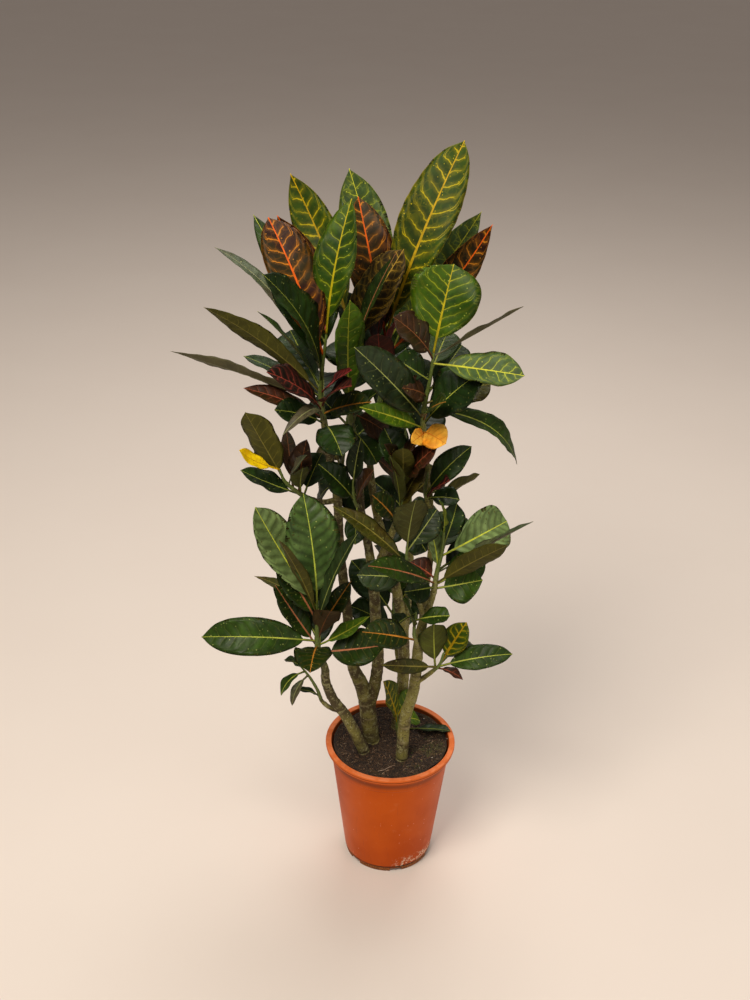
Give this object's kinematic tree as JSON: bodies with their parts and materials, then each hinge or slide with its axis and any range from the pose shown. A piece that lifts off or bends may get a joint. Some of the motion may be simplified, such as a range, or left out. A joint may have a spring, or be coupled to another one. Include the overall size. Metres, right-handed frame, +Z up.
{
  "type": "potted croton",
  "caption": "Tall bushy croton with glossy, coloured and veined leaves on bare woody trunks, growing in a round plastic nursery pot.",
  "frame": {"origin": "centre of the pot's underside, on the surface that it stands on", "axes": "+Z up along the pot's axis, -Y towards the side that the picture shows"},
  "size_m": [0.501, 0.3079, 1.1405],
  "materials": {
    "pot": "satin moulded plastic",
    "soil": "coarse, fibrous potting mix",
    "bark": "rough, mottled bark",
    "leaf": "glossy waxy leaf",
    "leaf_yellow": "smooth dying leaf",
    "leaf_orange": "dry dying leaf"
  },
  "bodies": {
    "root": {"pot": "pot", "soil": "soil", "trunk_centre": "bark", "trunk_front_left": "bark", "trunk_front_right": "bark", "trunk_rear": "bark", "trunk_sucker": "bark", "shoot_crown_centre": "leaf", "shoot_crown_left": "leaf", "shoot_crown_mid": "leaf", "shoot_crown_right": "leaf", "shoot_fork_leaves": "leaf", "shoot_front_mid": "leaf", "shoot_low_left": "leaf", "shoot_low_right": "leaf", "shoot_low_twig": "leaf", "shoot_mid_centre": "leaf", "shoot_mid_inner": "leaf", "shoot_mid_left": "leaf", "shoot_mid_right": "leaf", "shoot_rear_left": "leaf", "shoot_rear_low": "leaf", "shoot_rear_right": "leaf", "shoot_right_mid": "leaf", "shoot_sucker": "leaf", "leaf_fallen": "leaf", "leaf_orange": "leaf_orange", "leaf_yellow": "leaf_yellow"}
  },
  "joints": []
}
